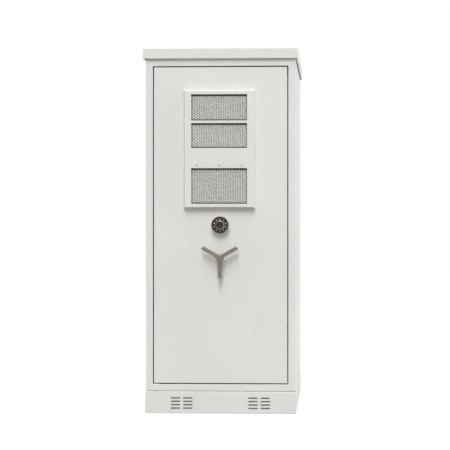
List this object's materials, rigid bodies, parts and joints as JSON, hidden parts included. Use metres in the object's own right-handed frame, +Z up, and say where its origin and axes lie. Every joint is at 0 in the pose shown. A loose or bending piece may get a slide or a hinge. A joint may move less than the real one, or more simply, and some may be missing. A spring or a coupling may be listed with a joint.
{
  "type": "roadside utility cabinet",
  "caption": "Free-standing white sheet-metal equipment cabinet on a slotted plinth, with an inset pivot door, a mesh vent cover, a dial lock and a three-spoke bolt handle.",
  "frame": {"origin": "on the floor, at the centre of the four anchor holes under the plinth", "axes": "+Z up, -Y out of the door's front, +X to the right as seen from the front"},
  "size_m": [0.766, 0.8075, 1.806],
  "materials": {
    "white_paint": "smooth semi-gloss powder coat, near white",
    "zinc_plate": "bright zinc plate",
    "black_rubber": "matt black rubber",
    "copper": "bare copper",
    "red_insulator": "moulded insulator, dull red",
    "bronze": "plain bearing bronze",
    "mesh_steel": "light grey expanded metal",
    "filter_foam": "open dark grey filter mat",
    "fan_plastic": "black moulded plastic",
    "ring_chrome": "polished chrome plate",
    "dial_enamel": "dark brown-black enamel",
    "satin_nickel": "satin nickel, a little brown",
    "nylon": "off-white nylon"
  },
  "bodies": {
    "cabinet": {"plinth": "white_paint", "floor_panel": "white_paint", "gland_plate": "zinc_plate", "cable_grommets": "black_rubber", "left_side_panel": "white_paint", "right_side_panel": "white_paint", "rear_panel": "white_paint", "top_panel": "white_paint", "front_frame": "white_paint", "roof_cap": "white_paint", "roof_spacers": "zinc_plate", "roof_studs": "zinc_plate", "lower_front_crossbar": "zinc_plate", "lower_rear_crossbar": "zinc_plate", "upper_front_crossbar": "zinc_plate", "upper_rear_crossbar": "zinc_plate", "front_left_rail": "zinc_plate", "front_right_rail": "zinc_plate", "rear_left_rail": "zinc_plate", "rear_right_rail": "zinc_plate", "earth_bar": "copper", "earth_standoffs": "red_insulator", "door_gasket": "black_rubber", "lower_pivot_pin": "zinc_plate", "upper_pivot_pin": "zinc_plate", "thrust_washer": "bronze", "pivot_nuts": "zinc_plate", "panel_screws": "zinc_plate", "rail_screws": "zinc_plate", "plinth_bolts": "zinc_plate"},
    "door": {"door_panel": "white_paint", "door_stiffeners": "white_paint", "vent_cover": "white_paint", "upper_mesh": "mesh_steel", "lower_mesh": "mesh_steel", "upper_filter": "filter_foam", "lower_filter": "filter_foam", "vent_rivets": "zinc_plate", "lower_fan_frame": "fan_plastic", "upper_fan_frame": "fan_plastic", "fan_guards": "zinc_plate", "fan_screws": "zinc_plate", "lock_case": "zinc_plate", "dial_ring": "ring_chrome", "handle_bush": "zinc_plate", "edge_guides": "nylon", "rod_saddles": "nylon", "lower_door_bush": "bronze", "upper_door_bush": "bronze"},
    "handle": {"handle": "satin_nickel", "handle_spindle": "zinc_plate", "cam": "zinc_plate", "spindle_nut": "zinc_plate"},
    "side_bolts": {"side_bolts": "zinc_plate"},
    "top_rod": {"top_rod": "zinc_plate"},
    "bottom_rod": {"bottom_rod": "zinc_plate"},
    "dial": {"dial": "dial_enamel", "dial_spindle": "zinc_plate"},
    "lower_fan_rotor": {"lower_fan_rotor": "fan_plastic"},
    "upper_fan_rotor": {"upper_fan_rotor": "fan_plastic"}
  },
  "joints": [
    {"name": "door_swing", "type": "hinge", "parent": "cabinet", "child": "door", "pos_m": [-0.32, -0.361, 0.9], "axis": [0, 0, -1], "range_deg": [0, 110]},
    {"name": "handle_turn", "type": "hinge", "parent": "door", "child": "handle", "pos_m": [0, -0.371, 0.771], "axis": [0, 1, 0], "range_deg": [0, 60]},
    {"name": "side_bolt_throw", "type": "slide", "parent": "door", "child": "side_bolts", "axis": [1, 0, 0], "range_m": [0, 0.024]},
    {"name": "top_rod_throw", "type": "slide", "parent": "door", "child": "top_rod", "axis": [0, 0, 1], "range_m": [0, 0.024]},
    {"name": "bottom_rod_throw", "type": "slide", "parent": "door", "child": "bottom_rod", "axis": [0, 0, -1], "range_m": [0, 0.024]},
    {"name": "dial_turn", "type": "hinge", "parent": "door", "child": "dial", "pos_m": [0, -0.371, 0.932], "axis": [0, 1, 0], "continuous": true},
    {"name": "lower_fan_spin", "type": "hinge", "parent": "door", "child": "lower_fan_rotor", "pos_m": [0, -0.353, 1.373], "axis": [0, 1, 0], "continuous": true},
    {"name": "upper_fan_spin", "type": "hinge", "parent": "door", "child": "upper_fan_rotor", "pos_m": [0, -0.353, 1.5115], "axis": [0, 1, 0], "continuous": true}
  ],
  "couplings": [
    {"joint": "side_bolt_throw", "follows": "handle_turn", "m_per_rad": 0.022918},
    {"joint": "top_rod_throw", "follows": "handle_turn", "m_per_rad": 0.022918},
    {"joint": "bottom_rod_throw", "follows": "handle_turn", "m_per_rad": 0.022918}
  ]
}
